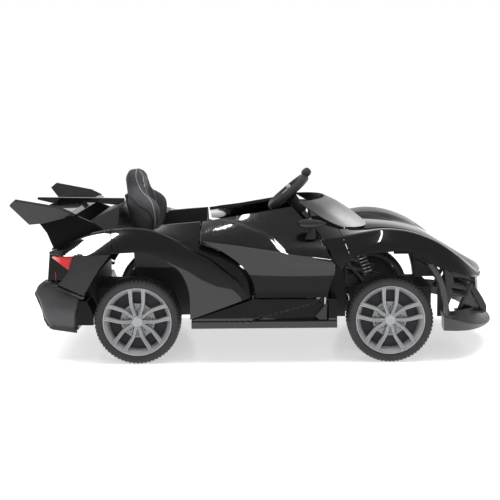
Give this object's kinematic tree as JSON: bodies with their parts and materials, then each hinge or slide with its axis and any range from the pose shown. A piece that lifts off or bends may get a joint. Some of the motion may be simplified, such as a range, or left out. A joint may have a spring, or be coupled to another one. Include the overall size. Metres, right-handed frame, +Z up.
{
  "type": "electric ride-on car",
  "caption": "Low sports-car ride-on for a child: moulded black body with wing, opening doors, steered front wheels, padded seat, pedal and silver twin-spoke wheels.",
  "frame": {"origin": "on the ground under the middle of the car's length and width", "axes": "+X towards the nose, +Y to the car's left, +Z up"},
  "size_m": [1.312, 0.64, 0.5],
  "materials": {
    "black_gloss": "gloss",
    "dark_plastic": "satin",
    "chassis_black": "matte",
    "silver_wheel": "satin metallic",
    "wheel_dark": "satin",
    "tyre_black": "matte",
    "steel": "satin",
    "motor_can": "satin",
    "battery_case": "matte",
    "leatherette": "satin",
    "red_lens": "gloss",
    "clear_lens": "gloss",
    "grip_black": "satin",
    "button_grey": "satin"
  },
  "bodies": {
    "chassis": {"backrest_pad": "leatherette", "battery": "battery_case", "bonnet": "black_gloss", "chassis_tub": "chassis_black", "control_box": "chassis_black", "dashboard": "dark_plastic", "door_hinge_pins": "steel", "drive_motors": "motor_can", "front_axle_beam": "chassis_black", "front_bumper": "dark_plastic", "front_fender_left": "black_gloss", "front_fender_right": "black_gloss", "front_splitter": "dark_plastic", "gearboxes": "chassis_black", "headlights": "clear_lens", "pedal_base": "chassis_black", "quarter_panels": "dark_plastic", "rear_axle": "steel", "rear_corners": "dark_plastic", "rear_deck": "dark_plastic", "rear_diffuser": "dark_plastic", "rear_fender_left": "black_gloss", "rear_fender_right": "black_gloss", "seat_cushion": "leatherette", "seat_shell": "dark_plastic", "side_skirt_left": "dark_plastic", "side_skirt_right": "dark_plastic", "tail_lights": "red_lens", "tail_panel": "black_gloss", "windscreen_cowl": "black_gloss", "wing_blade": "black_gloss", "wing_spine": "black_gloss", "wing_uprights": "black_gloss", "winglets": "dark_plastic"},
    "steering": {"steering_wheel": "grip_black", "steering_shaft": "steel"},
    "horn": {"horn_button": "button_grey"},
    "tie_rod": {"tie_rod": "steel"},
    "knuckle_right": {"knuckle_right": "steel"},
    "knuckle_left": {"knuckle_left": "steel"},
    "door_right": {"door_right": "black_gloss", "mirror_right": "dark_plastic"},
    "door_left": {"door_left": "black_gloss", "mirror_left": "dark_plastic"},
    "pedal": {"accelerator_pedal": "chassis_black"},
    "switch": {"drive_switch": "grip_black"},
    "power": {"power_button": "button_grey"},
    "wheel_rear_right": {"tyre_rear_right": "tyre_black", "wheel_core_rear_right": "wheel_dark", "wheel_cover_rear_right": "silver_wheel"},
    "wheel_rear_left": {"tyre_rear_left": "tyre_black", "wheel_core_rear_left": "wheel_dark", "wheel_cover_rear_left": "silver_wheel"},
    "wheel_front_right": {"tyre_front_right": "tyre_black", "wheel_core_front_right": "wheel_dark", "wheel_cover_front_right": "silver_wheel"},
    "wheel_front_left": {"tyre_front_left": "tyre_black", "wheel_core_front_left": "wheel_dark", "wheel_cover_front_left": "silver_wheel"}
  },
  "joints": [
    {"name": "wheel_rear_right_spin", "type": "hinge", "parent": "chassis", "child": "wheel_rear_right", "pos_m": [-0.328, -0.26, 0.113], "axis": [0, 1, 0], "continuous": true},
    {"name": "wheel_rear_left_spin", "type": "hinge", "parent": "chassis", "child": "wheel_rear_left", "pos_m": [-0.328, 0.26, 0.113], "axis": [0, 1, 0], "continuous": true},
    {"name": "wheel_front_right_spin", "type": "hinge", "parent": "knuckle_right", "child": "wheel_front_right", "pos_m": [0.338, -0.26, 0.113], "axis": [0, 1, 0], "continuous": true},
    {"name": "wheel_front_left_spin", "type": "hinge", "parent": "knuckle_left", "child": "wheel_front_left", "pos_m": [0.338, 0.26, 0.113], "axis": [0, 1, 0], "continuous": true},
    {"name": "steering_turn", "type": "hinge", "parent": "chassis", "child": "steering", "pos_m": [0.075, 0, 0.425], "axis": [0.6428, 0, -0.766], "range_deg": [-36, 36]},
    {"name": "knuckle_right_turn", "type": "hinge", "parent": "chassis", "child": "knuckle_right", "pos_m": [0.338, -0.205, 0.113], "axis": [0, 0, 1], "range_deg": [-18.2, 18.2]},
    {"name": "knuckle_left_turn", "type": "hinge", "parent": "chassis", "child": "knuckle_left", "pos_m": [0.338, 0.205, 0.113], "axis": [0, 0, 1], "range_deg": [-18.2, 18.2]},
    {"name": "tie_rod_slide", "type": "slide", "parent": "chassis", "child": "tie_rod", "axis": [0, 1, 0], "range_m": [-0.0249, 0.0249]},
    {"name": "horn_press", "type": "slide", "parent": "steering", "child": "horn", "axis": [0.6428, 0, -0.766], "range_m": [0, 0.0024], "stiffness_N_per_m": 300, "springref_m": -0.002},
    {"name": "door_right_swing", "type": "hinge", "parent": "chassis", "child": "door_right", "pos_m": [0.166, -0.302, 0.21], "axis": [0, 0, 1], "range_deg": [0, 45]},
    {"name": "door_left_swing", "type": "hinge", "parent": "chassis", "child": "door_left", "pos_m": [0.166, 0.302, 0.21], "axis": [0, 0, -1], "range_deg": [0, 45]},
    {"name": "pedal_press", "type": "hinge", "parent": "chassis", "child": "pedal", "pos_m": [0.142, -0.062, 0.112], "axis": [0, 1, 0], "range_deg": [0, 12], "stiffness_Nm_per_rad": 0.4, "springref_deg": -11.46},
    {"name": "switch_rock", "type": "hinge", "parent": "chassis", "child": "switch", "pos_m": [0.1436, -0.055, 0.352], "axis": [0, 1, 0], "range_deg": [-12, 12]},
    {"name": "power_press", "type": "slide", "parent": "chassis", "child": "power", "axis": [1, 0, 0], "range_m": [0, 0.003], "stiffness_N_per_m": 300, "springref_m": -0.002}
  ],
  "couplings": [
    {"joint": "knuckle_right_turn", "follows": "steering_turn", "ratio": -0.5},
    {"joint": "knuckle_left_turn", "follows": "steering_turn", "ratio": -0.5},
    {"joint": "tie_rod_slide", "follows": "steering_turn", "m_per_rad": 0.039345}
  ]
}
